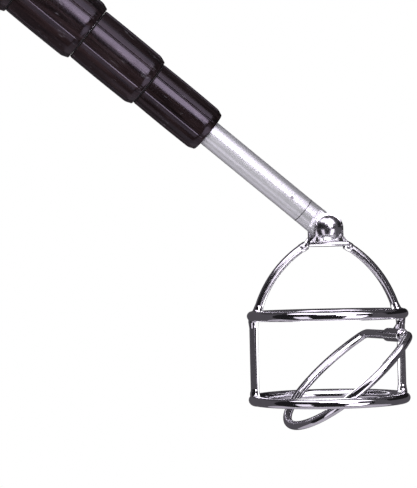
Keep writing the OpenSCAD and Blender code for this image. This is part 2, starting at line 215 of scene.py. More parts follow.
# Cards that mirrors see: distance, turns and rises from the camera in degrees, and brightness
CARDS = (
    ("front_flag", 0.80, (-87.0, 62.0), (-64.0, 32.0), 0.012),
    ("front_strip", 0.79, (-87.0, 62.0), (-7.0, 0.0), 0.075),
    ("left_high_flag", 0.80, (-87.0, -20.0), (32.0, 46.0), 0.02),
    ("side_flag", 0.81, (62.0, 273.0), (-40.0, 32.0), 0.085),
    ("side_edge_flag", 0.80, (88.0, 170.0), (6.0, 32.0), 0.012),
    ("back_flag", 0.82, (70.0, 273.0), (32.0, 76.0), 0.06),
    ("crown_flag", 0.83, (-180.0, 180.0), (76.0, 90.0), 0.05),
    ("low_card", 0.82, (-180.0, 180.0), (-90.0, -64.0), 0.45),
    ("back_low_card", 0.82, (62.0, 273.0), (-64.0, -40.0), 0.45),
    ("left_box", 0.76, (-52.0, -30.0), (-50.0, -9.0), 1.0),
    ("low_key_box", 0.76, (24.0, 54.0), (-52.0, -8.0), 2.0),
    ("ear_box", 0.76, (17.0, 25.0), (-1.0, 9.0), 1.0),
    ("key_box", 0.76, (11.0, 36.0), (12.5, 34.0), 8.0),
    ("top_box", 0.84, (-20.0, 38.0), (32.0, 76.0), 2.4),
    ("top_right_box", 0.84, (38.0, 66.0), (32.0, 76.0), 2.0),
    ("top_left_box", 0.84, (-87.0, -20.0), (46.0, 76.0), 2.0),
)
CARD_TINT = (1.0, 0.93, 1.06)
CARD_STEPS = 12
# Smaller copies of the dark cards stand round the cage's place with the pole pulled out
FLAG_BRIGHTNESS = 0.1
PULL = sum(joint["range_m"][1] for joint in JOINTS.values() if joint["type"] == "slide")
FAR_SCALE = 0.4

# Lamps: turn and rise from the camera in degrees, distance, size and power
LAMPS = (
    ("key_lamp", -8.0, 4.0, 1.0, (0.6, 0.5), 7.6),
    ("side_lamp", -45.0, -14.0, 1.0, (0.8, 0.8), 2.2),
    ("top_lamp", -30.0, 60.0, 1.1, (0.9, 0.9), 0.6),
    ("back_lamp", 165.0, 24.0, 1.1, (0.8, 0.8), 6.0),
)
# A small lamp inside the cage that only mirrors show: radius, power and the nodes it passes by
INNER_LAMP_R = 0.015
INNER_LAMP_POWER = 0.02
INNER_LAMP_PASSES = ("right_leg", "hinge_barrel", "hinge_strut")


# Sizes and colours that a user would change

class RetrieverFinishes(bpy.types.PropertyGroup):
    """Colours and roughness of the retriever's materials"""

    chrome: bpy.props.FloatVectorProperty(
        name="Chrome", description="Colour of the plated wire", subtype="COLOR",
        size=3, min=0.0, max=1.0, default=(0.90, 0.89, 0.92))
    chrome_rough: bpy.props.FloatProperty(
        name="Chrome roughness", description="Roughness of the plated wire", subtype="FACTOR",
        min=0.0, max=1.0, default=0.07)
    tube: bpy.props.FloatVectorProperty(
        name="Tube", description="Colour of the drawn aluminium tubes", subtype="COLOR",
        size=3, min=0.0, max=1.0, default=(0.73, 0.72, 0.77))
    tube_rough: bpy.props.FloatProperty(
        name="Tube roughness", description="Roughness of the drawn aluminium tubes", subtype="FACTOR",
        min=0.0, max=1.0, default=0.32)
    collar: bpy.props.FloatVectorProperty(
        name="Collar", description="Colour of the moulded collars", subtype="COLOR",
        size=3, min=0.0, max=1.0, default=(0.0092, 0.0054, 0.0059))
    collar_rough: bpy.props.FloatProperty(
        name="Collar roughness", description="Roughness of the moulded collars", subtype="FACTOR",
        min=0.0, max=1.0, default=0.16)
    rubber: bpy.props.FloatVectorProperty(
        name="Rubber", description="Colour of the grip's rubber", subtype="COLOR",
        size=3, min=0.0, max=1.0, default=(0.022, 0.021, 0.023))
    nylon: bpy.props.FloatVectorProperty(
        name="Nylon", description="Colour of the bushes and washers", subtype="COLOR",
        size=3, min=0.0, max=1.0, default=(0.70, 0.68, 0.61))


class RetrieverWelds(bpy.types.PropertyGroup):
    """Sizes of the welds that join the wires"""

    ring: bpy.props.FloatProperty(
        name="Ring weld", description="Radius of the weld metal round a ring's wire", unit="LENGTH",
        min=0.001, max=0.004, default=0.00188)
    post: bpy.props.FloatProperty(
        name="Post weld", description="Radius of the weld metal round a post or a leg", unit="LENGTH",
        min=0.001, max=0.004, default=0.00185)
    crown: bpy.props.FloatProperty(
        name="Crown weld", description="Radius of the weld between a leg and the clevis", unit="LENGTH",
        min=0.001, max=0.004, default=0.0017)
    strut: bpy.props.FloatProperty(
        name="Strut weld", description="Radius of the welds at the hinge strut", unit="LENGTH",
        min=0.0005, max=0.003, default=0.0015)


class RetrieverStudio(bpy.types.PropertyGroup):
    """Camera and floor of the studio"""

    azimuth: bpy.props.FloatProperty(
        name="Azimuth", description="Turn of the camera about the swivel pin", subtype="ANGLE",
        default=math.radians(-10.28))
    elevation: bpy.props.FloatProperty(
        name="Elevation", description="Height of the camera over the swivel pin", subtype="ANGLE",
        default=math.radians(-1.21))
    roll: bpy.props.FloatProperty(
        name="Roll", description="Turn of the camera about its own axis", subtype="ANGLE",
        default=math.radians(-1.28))
    distance: bpy.props.FloatProperty(
        name="Distance", description="Distance from the camera to the swivel pin", unit="LENGTH",
        default=0.6168)
    focal_px: bpy.props.FloatProperty(
        name="Focal length", description="Focal length in picture points", default=1743.3)
    pin_u: bpy.props.FloatProperty(
        name="Pin across", description="Place of the swivel pin across the picture", default=325.35)
    pin_v: bpy.props.FloatProperty(
        name="Pin down", description="Place of the swivel pin down the picture", default=228.39)
    floor_z: bpy.props.FloatProperty(
        name="Floor", description="Height of the floor", unit="LENGTH", default=-1.08)


def settings():
    """The retriever's finishes, welds and studio in this scene."""
    scene = bpy.context.scene
    return scene.retriever_finishes, scene.retriever_welds, scene.retriever_studio


# Materials

def new_material(name):
    """A material with nodes, its tree and its surface shader."""
    material = bpy.data.materials.new(name)
    material.use_nodes = True
    tree = material.node_tree
    return material, tree, tree.nodes["Principled BSDF"]


def add_node(tree, kind, values=None, **settings_of_node):
    """A node of that kind with its settings and its socket values."""
    node = tree.nodes.new(kind)
    for name, value in settings_of_node.items():
        setattr(node, name, value)
    for name, value in (values or {}).items():
        node.inputs[name].default_value = value
    return node


def feed(node, socket, output):
    """Links another node's output to a socket of a node."""
    node.id_data.links.new(output, node.inputs[socket])


def in_place(tree):
    """The object's own coordinates."""
    return add_node(tree, "ShaderNodeTexCoord").outputs["Object"]


def along_pole(tree, scale):
    """Coordinates with Z along the pole, scaled."""
    turn = add_node(tree, "ShaderNodeMapping", {"Rotation": (0.0, -POLE_TURN, 0.0)})
    stretch = add_node(tree, "ShaderNodeMapping", {"Scale": scale})
    feed(turn, "Vector", in_place(tree))
    feed(stretch, "Vector", turn.outputs["Vector"])
    return stretch.outputs["Vector"]


def grain(tree, vector, scale, detail=4.0, rough=0.55):
    """Soft noise, from 0 to 1."""
    node = add_node(tree, "ShaderNodeTexNoise", {"Scale": scale, "Detail": detail, "Roughness": rough})
    feed(node, "Vector", vector)
    return node.outputs["Fac"]


def ramp(tree, factor, low, high, start=0.3, end=0.7):
    """A colour that goes from low to high with the factor."""
    node = add_node(tree, "ShaderNodeValToRGB")
    for stop, place, colour in zip(node.color_ramp.elements, (start, end), (low, high)):
        stop.position = place
        stop.color = (*colour, 1.0)
    feed(node, "Fac", factor)
    return node.outputs["Color"]


def span(tree, factor, low, high, start=0.3, end=0.7):
    """A value that goes from low to high with the factor."""
    node = add_node(tree, "ShaderNodeMapRange", {
        "From Min": start, "From Max": end, "To Min": low, "To Max": high})
    feed(node, "Value", factor)
    return node.outputs["Result"]


def relief(tree, surface, height, distance, strength):
    """Fine relief on a surface, added over what is there."""
    node = add_node(tree, "ShaderNodeBump", {"Distance": distance, "Strength": strength})
    feed(node, "Height", height)
    if surface.inputs["Normal"].is_linked:
        feed(node, "Normal", surface.inputs["Normal"].links[0].from_socket)
    feed(surface, "Normal", node.outputs["Normal"])


def shade_of(colour, factor):
    """A lighter or darker shade of a colour."""
    return tuple(min(1.0, part * factor) for part in colour)


def chrome_finish(name, colour, rough, ripple=1.0, wear=1.0):
    """Plated steel: faint clouding, fine scratches and a drawn ripple."""
    material, tree, surface = new_material(name)
    surface.inputs["Metallic"].default_value = 1.0
    place = in_place(tree)
    clouds = grain(tree, place, scale=170.0)
    specks = grain(tree, place, scale=1400.0, detail=6.0)
    waves = grain(tree, place, scale=260.0, detail=2.0)
    smoothest = rough * (1.0 - 0.4 * wear)
    roughest = rough * (1.0 + 0.8 * wear)
    feed(surface, "Base Color", ramp(tree, clouds, shade_of(colour, 0.88), colour))
    feed(surface, "Roughness", span(tree, specks, smoothest, roughest))
    relief(tree, surface, waves, distance=0.00003 * ripple, strength=0.5)
    relief(tree, surface, specks, distance=0.000004 * wear, strength=0.4)
    return material


def tube_finish(name, colour, rough):
    """Drawn aluminium with fine lengthwise brushing."""
    material, tree, surface = new_material(name)
    surface.inputs["Metallic"].default_value = 0.6
    lines = grain(tree, along_pole(tree, (1.0, 1.0, 0.012)), scale=5200.0, detail=5.0, rough=0.6)
    broad = grain(tree, along_pole(tree, (1.0, 1.0, 0.12)), scale=420.0, detail=3.0)
    feed(surface, "Base Color", ramp(tree, lines, shade_of(colour, 0.92), shade_of(colour, 1.05)))
    feed(surface, "Roughness", span(tree, broad, rough * 0.85, rough * 1.2))
    relief(tree, surface, lines, distance=0.000002, strength=0.5)
    return material


def collar_finish(name, colour, rough):
    """Moulded plastic with drag lines along it, rubbed patches and pale scuffs."""
    material, tree, surface = new_material(name)
    drag = grain(tree, along_pole(tree, (1.0, 1.0, 0.03)), scale=1900.0, detail=7.0, rough=0.7)
    streaks = grain(tree, along_pole(tree, (1.0, 1.0, 0.07)), scale=620.0, detail=6.0, rough=0.65)
    patches = grain(tree, along_pole(tree, (1.0, 1.0, 0.35)), scale=190.0, detail=5.0)
    scuffs = grain(tree, along_pole(tree, (1.0, 1.0, 0.22)), scale=620.0, detail=9.0, rough=0.75)
    pits = grain(tree, in_place(tree), scale=2600.0, detail=3.0)
    skin = ramp(tree, streaks, shade_of(colour, 0.45), shade_of(colour, 2.8), start=0.36, end=0.74)
    worn = add_node(tree, "ShaderNodeMix", data_type="RGBA")
    plain, scuffed, mixed = worn.inputs[6], worn.inputs[7], worn.outputs[2]
    feed(worn, "Factor", span(tree, scuffs, 0.0, 0.8, start=0.59, end=0.69))
    tree.links.new(skin, plain)
    scuffed.default_value = (0.12, 0.11, 0.13, 1.0)
    feed(surface, "Base Color", mixed)
    feed(surface, "Roughness", span(tree, patches, rough * 0.6, rough * 1.7))
    surface.inputs["Specular IOR Level"].default_value = 0.35
    surface.inputs["Specular Tint"].default_value = (1.0, 0.9, 1.1, 1.0)
    relief(tree, surface, drag, distance=0.00005, strength=0.7)
    relief(tree, surface, pits, distance=0.000012, strength=0.4)
    return material


def rubber_finish(name, colour, rough):
    """Moulded rubber with a stippled skin and dusty wear."""
    material, tree, surface = new_material(name)
    place = in_place(tree)
    dust = grain(tree, place, scale=60.0, detail=6.0, rough=0.6)
    cells = add_node(tree, "ShaderNodeTexVoronoi", {"Scale": 1300.0}, feature="SMOOTH_F1")
    feed(cells, "Vector", place)
    skin = ramp(tree, dust, shade_of(colour, 0.75), shade_of(colour, 1.7), start=0.35, end=0.75)
    feed(surface, "Base Color", skin)
    feed(surface, "Roughness", span(tree, dust, rough * 0.9, min(1.0, rough * 1.15)))
    relief(tree, surface, cells.outputs["Distance"], distance=0.00012, strength=0.5)
    return material


def nylon_finish(name, colour, rough):
    """Turned nylon, slightly clouded, with fine tool rings."""
    material, tree, surface = new_material(name)
    clouds = grain(tree, in_place(tree), scale=240.0)
    rings = grain(tree, along_pole(tree, (0.02, 0.02, 1.0)), scale=4200.0, detail=2.0)
    feed(surface, "Base Color", ramp(tree, clouds, shade_of(colour, 0.86), shade_of(colour, 1.06)))
    feed(surface, "Roughness", span(tree, rings, rough * 0.85, rough * 1.2))
    surface.inputs["Subsurface Weight"].default_value = 0.08
    surface.inputs["Subsurface Radius"].default_value = (0.001, 0.001, 0.0008)
    relief(tree, surface, rings, distance=0.00002, strength=0.5)
    return material


def finish_nodes(names, material):
    """Gives CAD nodes their material."""
    for name in names:
        slots = frame["nodes"][name].data.materials
        slots.clear()
        slots.append(material)


# Places

def from_pivot(x, y, z):
    """A point given in millimetres from the swivel pin."""
    return PIVOT + Vector((x, y, z)) * MM


def round_pole(turn):
    """The way out from the pole's axis at a turn about it."""
    return ACROSS * math.cos(turn) + Y * math.sin(turn)


def along(node):
    """The lowest and highest place of a CAD node along the pole."""
    places = [point.co.dot(POLE) for point in frame["nodes"][node].data.vertices]
    return min(places), max(places)


def reach_from_pole(node):
    """The largest distance of a CAD node from the pole's axis."""
    points = [point.co for point in frame["nodes"][node].data.vertices]
    return max((point - POLE * point.dot(POLE)).length for point in points)


# Shapes

def link_object(name, data):
    """An object in the scene with that mesh, lamp or camera."""
    item = bpy.data.objects.new(name, data)
    bpy.context.scene.collection.objects.link(item)
    return item


def piece_of(name, shape):
    """An object made from a shape, which is used up."""
    mesh = bpy.data.meshes.new(name)
    shape.to_mesh(mesh)
    shape.free()
    return link_object(name, mesh)


def closed_shape(points, faces):
    """A shape of these points and faces, which all look outwards."""
    shape = bmesh.new()
    corners = [shape.verts.new(point) for point in points]
    for face in faces:
        shape.faces.new([corners[i] for i in face])
    bmesh.ops.recalc_face_normals(shape, faces=shape.faces)
    shape.normal_update()
    return shape


def smooth_skin(shape, sharp=math.inf):
    """Shades a shape smooth, except over edges that turn by more than an angle."""
    for face in shape.faces:
        face.smooth = True
    for edge in shape.edges:
        edge.smooth = edge.calc_face_angle(0.0) < sharp


def swept_faces(steps, count):
    """Faces of a closed outline of so many points that goes right round in so many steps."""
    faces = []
    for i in range(steps):
        n = (i + 1) % steps
        for j in range(count):
            k = (j + 1) % count
            faces.append((i * count + j, n * count + j, n * count + k, i * count + k))
    return faces


def turned_ring(name, outline):
    """A ring turned about the pole from a closed outline of radius and place along the pole."""
    points = []
    for i in range(TURNED_STEPS):
        out = round_pole(FULL_TURN * i / TURNED_STEPS)
        points.extend(out * radius + POLE * place for radius, place in outline)
    return piece_of(name, closed_shape(points, swept_faces(TURNED_STEPS, len(outline))))


def collar_outline(outer, bore, lip, back, front):
    """Closed outline of a collar: radius, place along the pole and share of the grooves' depth."""
    nose = front - COLLAR_NOSE
    side = outer - COLLAR_SWELL
    points = [
        (bore, back, 0.0),
        (outer - COLLAR_EDGE_IN, back, 1.0),
        (side, back + COLLAR_EDGE_UP, 1.0),
    ]
    for share in SIDE_STOPS:
        swell = COLLAR_SWELL * (2.0 * share - 1.0) ** 2
        points.append((outer - swell, back + (nose - back) * share, 1.0))
    for share in NOSE_STOPS:
        taper = COLLAR_TAPER * share ** NOSE_CURVE
        points.append((side - taper, nose + (COLLAR_NOSE - COLLAR_RIM) * share, 1.0 - share))
    for i in range(RIM_STEPS + 1):
        turn = math.radians(90.0 * i / RIM_STEPS)
        rim = side - COLLAR_TAPER - COLLAR_RIM * (1.0 - math.cos(turn))
        points.append((rim, front - COLLAR_RIM * (1.0 - math.sin(turn)), 0.0))
    points.extend([(lip, front, 0.0), (lip, front - COLLAR_LIP, 0.0), (bore, front - COLLAR_LIP, 0.0)])
    return points


def groove_at(turn, radius):
    """Depth of the lengthwise grooves at a turn about the pole, with softened edges."""
    pitch = FULL_TURN / GROOVES
    apart = abs((turn - GROOVE_TURN + pitch / 2.0) % pitch - pitch / 2.0) * radius
    share = min(1.0, apart / GROOVE_HALF)
    return GROOVE_DEPTH * (1.0 - share * share) ** GROOVE_CURVE


def groove_turns(radius):
    """Turns about the pole, close together across each groove and wider apart on the lands."""
    pitch = FULL_TURN / GROOVES
    half = GROOVE_MARGIN * GROOVE_HALF / radius
    land = pitch - 2.0 * half
    turns = []
    for i in range(GROOVES):
        middle = GROOVE_TURN + i * pitch
        turns.extend(middle + half * (2.0 * j / GROOVE_STEPS - 1.0) for j in range(GROOVE_STEPS + 1))
        turns.extend(middle + half + land * j / LAND_STEPS for j in range(1, LAND_STEPS))
    return turns


def collar_skin(name, outer, bore, lip, back, front):
    """A fluted collar with softened edges, turned about the pole."""
    outline = collar_outline(outer, bore, lip, back, front)
    turns = groove_turns(outer)
    points = []
    for turn in turns:
        out = round_pole(turn)
        depth = groove_at(turn, outer)
        for radius, place, share in outline:
            points.append(out * (radius - depth * share) + POLE * place)
    shape = closed_shape(points, swept_faces(len(turns), len(outline)))
    smooth_skin(shape, COLLAR_SHARP)
    return piece_of(name, shape)


def add_pip(points, faces, middle, out):
    """Adds the points and faces of one pip, from its flat foot to its top."""
    sideways = POLE.cross(out)
    first = len(points)
    top = first + PIP_SIDES * PIP_LEVELS
    for level in range(PIP_LEVELS):
        tilt = math.radians(90.0 * level / PIP_LEVELS)
        for step in range(PIP_SIDES):
            way = FULL_TURN * step / PIP_SIDES
            offset = (POLE * math.cos(way) + sideways * math.sin(way)) * PIP_R * math.cos(tilt)
            points.append(middle + offset + out * PIP_HEIGHT * math.sin(tilt))
    points.append(middle + out * PIP_HEIGHT)
    faces.append(tuple(range(first, first + PIP_SIDES)))
    for base in range(first, top, PIP_SIDES):
        above = base + PIP_SIDES
        for step in range(PIP_SIDES):
            n = (step + 1) % PIP_SIDES
            if above < top:
                faces.append((base + step, base + n, above + n, above + step))
            else:
                faces.append((base + step, base + n, top))


def raised_pips(name, reach):
    """Low round pips in staggered rows about the pole, centred on the grip."""
    points, faces = [], []
    for row in range(PIP_ROWS):
        place = POLE * PIP_PITCH * (row - (PIP_ROWS - 1) / 2.0)
        for i in range(PIPS_AROUND):
            out = round_pole(FULL_TURN * (i + 0.5 * (row % 2)) / PIPS_AROUND)
            add_pip(points, faces, place + out * (reach - PIP_SINK), out)
    shape = closed_shape(points, faces)
    smooth_skin(shape)
    return piece_of(name, shape)


def eased_copy(name, node):
    """A copy of a CAD node whose sharp edges are eased."""
    shape = bmesh.new()
    shape.from_mesh(frame["nodes"][node].data)
    bmesh.ops.remove_doubles(shape, verts=shape.verts, dist=SAME_POINT)
    bmesh.ops.dissolve_limit(shape, angle_limit=FLAT, verts=shape.verts, edges=shape.edges)
    sharp = [edge for edge in shape.edges if edge.calc_face_angle(0.0) > EASE_ABOVE]
    bmesh.ops.bevel(
        shape, geom=sharp, offset=EASE, segments=EASE_STEPS, profile=0.5, affect="EDGES",
        clamp_overlap=True)
    smooth_skin(shape, EASED_SHARP)
    return piece_of(name, shape)


def ear_shade_blocks(name):
    """Dark three-cornered blocks in both ears of the clevis, on both sides of the pin, which paint shade
    at the corners beside the rivet.
    """
    points, faces = [], []
    for side in (-1, 1):
        for depths in SHADE_BLOCK_DEPTHS:
            first = len(points)
            for depth in depths:
                points.extend(from_pivot(side * x, depth, z) for x, z in SHADE_BLOCK_CORNERS)
            near = range(first, first + 3)
            far = range(first + 3, first + 6)
            faces.extend([tuple(near), tuple(reversed(far))])
            for i in range(3):
                n = (i + 1) % 3
                faces.append((near[i], far[i], far[n], near[n]))
    return piece_of(name, closed_shape(points, faces))


def barrel_lip(name, centre):
    """A round lip of wire about the hinge's line."""
    across = HINGE_LINE.orthogonal().normalized()
    over = HINGE_LINE.cross(across)
    points = []
    for i in range(LIP_STEPS):
        turn = FULL_TURN * i / LIP_STEPS
        out = across * math.cos(turn) + over * math.sin(turn)
        for j in range(LIP_SIDES):
            tilt = FULL_TURN * j / LIP_SIDES
            reach = out * (LIP_R + LIP_WIRE * math.cos(tilt))
            points.append(centre + reach + HINGE_LINE * LIP_WIRE * math.sin(tilt))
    shape = closed_shape(points, swept_faces(LIP_STEPS, LIP_SIDES))
    smooth_skin(shape)
    return piece_of(name, shape)


# Welds

def add_rod(shape, points, radii):
    """Adds a closed rod through points to a shape, with a radius at each of them."""
    rings = []
    for i, point in enumerate(points):
        ahead = (points[min(i + 1, len(points) - 1)] - points[max(i - 1, 0)]).normalized()
        across = ahead.cross(ASKEW).normalized()
        over = across.cross(ahead)
        ring = []
        for j in range(ROD_SIDES):
            turn = FULL_TURN * j / ROD_SIDES
            out = across * math.cos(turn) + over * math.sin(turn)
            ring.append(shape.verts.new(point + out * radii[i]))
        rings.append(ring)
    for low, high in zip(rings, rings[1:]):
        for j in range(ROD_SIDES):
            k = (j + 1) % ROD_SIDES
            shape.faces.new((low[j], low[k], high[k], high[j]))
    shape.faces.new(list(reversed(rings[0])))
    shape.faces.new(rings[-1])


def run_together(name, rods):
    """A mesh of rods that are merged and run into their corners."""
    shape = bmesh.new()
    for points, radii in rods:
        add_rod(shape, points, radii)
    bmesh.ops.recalc_face_normals(shape, faces=shape.faces)
    piece = piece_of(name, shape)
    rough_mesh = piece.data
    merge = piece.modifiers.new("merge", "REMESH")
    merge.mode = "VOXEL"
    merge.voxel_size = WELD_GRAIN
    run = piece.modifiers.new("run", "SMOOTH")
    run.factor = WELD_RUN
    run.iterations = WELD_FLOW
    ready = piece.evaluated_get(bpy.context.evaluated_depsgraph_get())
    merged = bpy.data.meshes.new_from_object(ready)
    bpy.data.objects.remove(piece)
    bpy.data.meshes.remove(rough_mesh)
    return merged


def weld_metal(name, joints):
    """Weld metal over wire joints, a little lumpy."""
    shape = bmesh.new()
    for rods in joints:
        part = run_together(name, rods)
        shape.from_mesh(part)
        bpy.data.meshes.remove(part)
    shape.normal_update()
    for point in shape.verts:
        swell = sum(share * noise.noise(point.co * scale) for scale, share in LUMP_NOISES)
        point.co = point.co + point.normal * WELD_LUMP * swell
    smooth_skin(shape)
    return piece_of(name, shape)


def arc_rod(centre, across, up, radius, turns, radii):
    """Points of a rod bent about a centre, from one turn to another in degrees, with its radii."""
    count = len(radii)
    points = []
    for i in range(count):
        turn = math.radians(turns[0] + (turns[1] - turns[0]) * i / (count - 1))
        points.append(centre + across * radius * math.cos(turn) + up * radius * math.sin(turn))
    return points, radii


def straight_rod(start, end, radii):
    """Points of a straight rod, with its radii."""
    count = len(radii)
    return [start.lerp(end, i / (count - 1)) for i in range(count)], radii


def leg_rod(side, turns, radii):
    """A rod along part of an arch leg, on the left (-1) or the right (1)."""
    centre = from_pivot(side * LEG_BEND_X, 0.0, LEG_BEND_Z)
    return arc_rod(centre, X * side, Z, LEG_BEND_R * MM, turns, radii)


def crown_joint(side, welds):
    """Rods of the weld between a leg and the clevis."""
    end = from_pivot(side * CROWN_END_X_MM, 0.0, CROWN_END_Z_MM)
    return (
        leg_rod(side, CROWN_TURNS, (welds.crown, welds.crown, CROWN_TAIL)),
        straight_rod(end - Y * CROWN_HALF, end + Y * CROWN_HALF, CROWN_BEAD),
    )


def ring_joint(side, height, up, welds):
    """Rods of the weld between a ring and a post, and a leg's foot on the top ring."""
    centre = from_pivot(0.0, 0.0, height)
    foot = from_pivot(side * RING_R, 0.0, height)
    ring_radii = (*RING_TAIL, welds.ring, welds.ring, welds.ring, *reversed(RING_TAIL))
    post_radii = (welds.post, welds.post, *POST_TAIL)
    rods = [
        arc_rod(centre, X * side, Y, RING_R * MM, RING_TURNS, ring_radii),
        straight_rod(foot, foot - Z * (up * POST_STRETCH), post_radii),
    ]
    if up > 0:
        rods.append(leg_rod(side, FOOT_TURNS, post_radii))
    return rods


def strut_joint(welds):
    """Rods of the welds at both ends of the hinge strut."""
    low = from_pivot(*STRUT_LOW_MM)
    high = from_pivot(*STRUT_HIGH_MM)
    middle = low.lerp(high, STRUT_MEET)
    radii = (welds.strut, welds.strut, STRUT_TAIL)
    return straight_rod(high, middle, radii), straight_rod(low, middle, radii)


# Operators

class RETRIEVER_OT_grip(bpy.types.Operator):
    """Finish the rubber grip and the butt cap, and add the grip's pips"""

    bl_idname = "retriever.grip"
    bl_label = "Grip"

    def execute(self, context):
        finishes = settings()[0]
        rubber = rubber_finish("grip rubber", tuple(finishes.rubber), rough=0.72)
        butt = collar_finish("butt plastic", shade_of(finishes.rubber, 0.9), rough=0.5)
        finish_nodes(["grip_sleeve"], rubber)
        finish_nodes(["butt_cap"], butt)
        pips = raised_pips("grip_pips", reach_from_pole("grip_sleeve"))
        pips.data.materials.append(rubber)
        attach(pips, "handle")
        return {"FINISHED"}


class RETRIEVER_OT_tubes(bpy.types.Operator):
    """Finish the telescopic tubes"""

    bl_idname = "retriever.tubes"
    bl_label = "Tubes"

    def execute(self, context):
        finishes = settings()[0]
        aluminium = tube_finish("tube aluminium", tuple(finishes.tube), finishes.tube_rough)
        finish_nodes(TUBE_NODES, aluminium)
        return {"FINISHED"}


class RETRIEVER_OT_collars(bpy.types.Operator):
    """Give the collars their fluted skins, and add the dust seals behind them, whose dark rubber also
    paints the shade in the gaps
    """

    bl_idname = "retriever.collars"
    bl_label = "Collars"

    def execute(self, context):
        finishes = settings()[0]
        plastic = collar_finish("collar plastic", tuple(finishes.collar), finishes.collar_rough)
        # The seals' very dark rubber also paints the shade in the gap behind each collar
        rubber = rubber_finish("gap shade seal rubber", shade_of(finishes.rubber, 0.5), rough=0.8)
        for node, own_tube, sliding_tube, body, seal in COLLARS:
            finish_nodes([node], plastic)
            outer = reach_from_pole(node)
            bore = reach_from_pole(own_tube) + SEAT_GAP
            lip = reach_from_pole(sliding_tube) + SLIDE_GAP
            back, front = along(node)
            skin = collar_skin(f"{node}_skin", outer, bore, lip, back, front)
            skin.data.materials.append(plastic)
            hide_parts(node)
            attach(skin, body)
            if seal is None:
                continue
            edge = outer - SEAL_UNDER
            ring = turned_ring(seal, [
                (bore, back), (bore, back - SEAL_T), (edge, back - SEAL_T), (edge, back)])
            ring.data.materials.append(rubber)
            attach(ring, body)
        return {"FINISHED"}


class RETRIEVER_OT_inner_rings(bpy.types.Operator):
    """Finish the friction rings and the tail bushes inside the pole"""

    bl_idname = "retriever.inner_rings"
    bl_label = "Inner rings"

    def execute(self, context):
        finishes = settings()[0]
        rubber = rubber_finish("friction rubber", shade_of(finishes.rubber, 2.0), rough=0.6)
        nylon = nylon_finish("bush nylon", tuple(finishes.nylon), rough=0.45)
        finish_nodes(FRICTION_NODES, rubber)
        finish_nodes(BUSH_NODES, nylon)
        return {"FINISHED"}


class RETRIEVER_OT_plug(bpy.types.Operator):
    """Finish the plug and its stake pin, and paint the shade of its joint with the tip tube as a dark ring
    """

    bl_idname = "retriever.plug"
    bl_label = "Plug"

    def execute(self, context):
        finishes = settings()[0]
        aluminium = tube_finish("plug aluminium", shade_of(finishes.tube, 0.97), rough=0.3)
        steel = chrome_finish("stake steel", (0.32, 0.31, 0.33), rough=0.35)
        seam_shade_finish = rubber_finish("painted seam shade", shade_of(finishes.rubber, 1.2), rough=0.7)
        finish_nodes(["swivel_plug"], aluminium)
        finish_nodes(["stake_pin"], steel)
        end = along("tip_tube")[1]
        reach = reach_from_pole("tip_tube")
        # The dark ring paints the shade in the gap where the tip tube meets the plug
        seam = turned_ring("plug_seam_shade", [
            (reach - SEAM_DEEP, end),
            (reach, end - SEAM_LAP),
            (reach + SEAM_PROUD, end),
            (reach + SEAM_PROUD, end + SEAM_WIDE),
            (reach - SEAM_DEEP, end + SEAM_WIDE),
        ])
        seam.data.materials.append(seam_shade_finish)
        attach(seam, "tip")
        return {"FINISHED"}


class RETRIEVER_OT_swivel(bpy.types.Operator):
    """Ease and finish the clevis, finish the rivet and washers, and weld the legs to the clevis"""

    bl_idname = "retriever.swivel"
    bl_label = "Swivel"

    def execute(self, context):
        finishes, welds, _ = settings()
        chrome = tuple(finishes.chrome)
        plate = chrome_finish("clevis chrome", chrome, rough=0.13, ripple=0.5, wear=0.3)
        # A very dark rubber for the blocks that paint shade at the corners beside the rivet
        rubber = rubber_finish("ear shade rubber", shade_of(finishes.rubber, 0.5), rough=0.8)
        dome = chrome_finish("rivet chrome", chrome, rough=0.2, ripple=0.2, wear=0.2)
        nylon = nylon_finish("washer nylon", shade_of(finishes.nylon, 0.9), rough=0.5)
        bead = chrome_finish("crown weld chrome", shade_of(chrome, 0.9), rough=0.16, ripple=2.0)
        finish_nodes(["clevis_bracket"], plate)
        finish_nodes(["pivot_rivet"], dome)
        finish_nodes(["pivot_washers"], nylon)
        clevis = eased_copy("eased_clevis", "clevis_bracket")
        clevis.data.materials.append(plate)
        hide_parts("clevis_bracket")
        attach(clevis, "head")
        # Dark blocks in the ears paint the shade at the lower corners beside the rivet
        shade_blocks = ear_shade_blocks("painted_ear_shade")
        shade_blocks.data.materials.append(rubber)
        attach(shade_blocks, "head")
        crown = weld_metal("crown_welds", [crown_joint(side, welds) for side in (-1, 1)])
        crown.data.materials.append(bead)
        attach(crown, "head")
        return {"FINISHED"}


class RETRIEVER_OT_cage(bpy.types.Operator):
    """Finish the arch, the rings and the posts, and weld them together"""

    bl_idname = "retriever.cage"
    bl_label = "Cage"

    def execute(self, context):
        finishes, welds, _ = settings()
        chrome = chrome_finish("cage chrome", tuple(finishes.chrome), finishes.chrome_rough)
        leg_chrome = chrome_finish("leg chrome", tuple(finishes.chrome), rough=0.13, ripple=0.6, wear=0.25)
        finish_nodes(CAGE_NODES, chrome)
        finish_nodes(LEG_NODES, leg_chrome)
        joints = []
        for side in (-1, 1):
            joints.append(ring_joint(side, TOP_Z, 1, welds))
            joints.append(ring_joint(side, BOTTOM_Z, -1, welds))
        weld = weld_metal("cage_welds", joints)
        weld.data.materials.append(chrome)
        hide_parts("weld_beads")
        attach(weld, "head")
        return {"FINISHED"}


